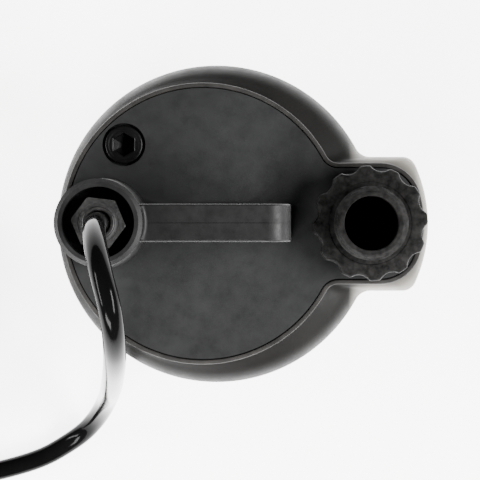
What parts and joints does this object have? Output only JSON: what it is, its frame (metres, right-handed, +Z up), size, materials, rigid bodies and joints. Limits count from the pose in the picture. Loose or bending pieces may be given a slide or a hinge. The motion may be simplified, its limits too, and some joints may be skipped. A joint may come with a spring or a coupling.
{
  "type": "submersible sump pump",
  "caption": "Round submersible sump pump with a moulded carrying handle, a corded gland tower, a side discharge with a lobed hose adapter and a slotted inlet screen.",
  "frame": {"origin": "on the floor under the feet, in the middle of the pump's own length and width (the mains lead left out)", "axes": "+Z up along the motor shaft; +X from the cord gland towards the discharge; +Y to the side of the oil filler plug"},
  "size_m": [0.2894, 0.1731, 0.2414],
  "materials": {
    "housing_plastic": "moulded charcoal thermoplastic with a faint texture, slightly glossier on its sides",
    "cover_plastic": "moulded charcoal thermoplastic, matte, with faint flow marks",
    "nut_plastic": "moulded nylon, scuffed satin",
    "plug_plastic": "black nylon, satin",
    "adapter_plastic": "glass-filled plastic, mottled and scuffed",
    "pump_plastic": "moulded black plastic",
    "cord_pvc": "glossy black PVC jacket",
    "plug_pvc": "black PVC, satin gloss",
    "tie_fabric": "woven hook and loop strap",
    "wire_pvc": "PVC insulation",
    "seal_rubber": "moulded nitrile rubber",
    "seal_ceramic": "ground ceramic",
    "bright_steel": "stainless steel, fine turned finish",
    "bearing_steel": "ground bearing steel",
    "core_steel": "stacked silicon steel laminations",
    "cast_alloy": "die-cast aluminium",
    "winding_copper": "enamelled copper wire, laced",
    "capacitor_case": "moulded case",
    "brass_blades": "bright rolled brass"
  },
  "bodies": {
    "housing": {"motor_housing": "housing_plastic", "volute_housing": "housing_plastic", "top_cover": "cover_plastic", "cover_gasket": "seal_rubber", "gland_grommet": "seal_rubber", "gland_washer": "bright_steel", "gland_nut": "nut_plastic", "oil_plug": "plug_plastic", "oil_plug_washer": "seal_rubber", "seal_plate": "cast_alloy", "seal_plate_o_ring": "seal_rubber", "suction_plate": "pump_plastic", "suction_screws": "bright_steel", "case_screws": "bright_steel", "through_bolts": "bright_steel", "stator_core": "core_steel", "lower_winding": "winding_copper", "upper_winding": "winding_copper", "spacer_sleeves": "bright_steel", "upper_bearing_bracket": "cast_alloy", "lower_bearing_outer_ring": "bearing_steel", "upper_bearing_outer_ring": "bearing_steel", "bearing_balls": "bearing_steel", "shaft_seal_seat": "seal_ceramic", "run_capacitor": "capacitor_case", "thermal_protector": "capacitor_case", "lead_wires": "wire_pvc", "lead_inner_end": "cord_pvc", "cord_tube": "cord_pvc", "cord_coil": "cord_pvc", "cord_tail": "cord_pvc", "coil_tie": "tie_fabric", "plug_strain_relief": "plug_pvc", "plug_body": "plug_pvc", "plug_blades": "brass_blades"},
    "rotor": {"shaft": "bright_steel", "rotor_core": "core_steel", "rotor_cage_rings": "cast_alloy", "shaft_seal_head": "seal_rubber", "impeller": "pump_plastic", "impeller_nut": "bright_steel", "lower_bearing_inner_ring": "bearing_steel", "upper_bearing_inner_ring": "bearing_steel"},
    "adapter_lift": {"adapter_washer": "seal_rubber"},
    "adapter": {"hose_adapter": "adapter_plastic"},
    "screen": {"inlet_screen": "pump_plastic"}
  },
  "joints": [
    {"name": "rotor_spin", "type": "hinge", "parent": "housing", "child": "rotor", "pos_m": [-0.0149, 0, 0.08], "axis": [0, 0, 1], "continuous": true},
    {"name": "adapter_rise", "type": "slide", "parent": "housing", "child": "adapter_lift", "axis": [0, 0, 1], "range_m": [0, 0.00884]},
    {"name": "adapter_turn", "type": "hinge", "parent": "adapter_lift", "child": "adapter", "pos_m": [0.0461, 0, 0.15], "axis": [0, 0, 1], "range_deg": [0, 1440]},
    {"name": "screen_release", "type": "slide", "parent": "housing", "child": "screen", "axis": [0, 0, -1], "range_m": [0, 0.025]}
  ],
  "couplings": [
    {"joint": "adapter_rise", "follows": "adapter_turn", "m_per_rad": 0.00035155}
  ]
}
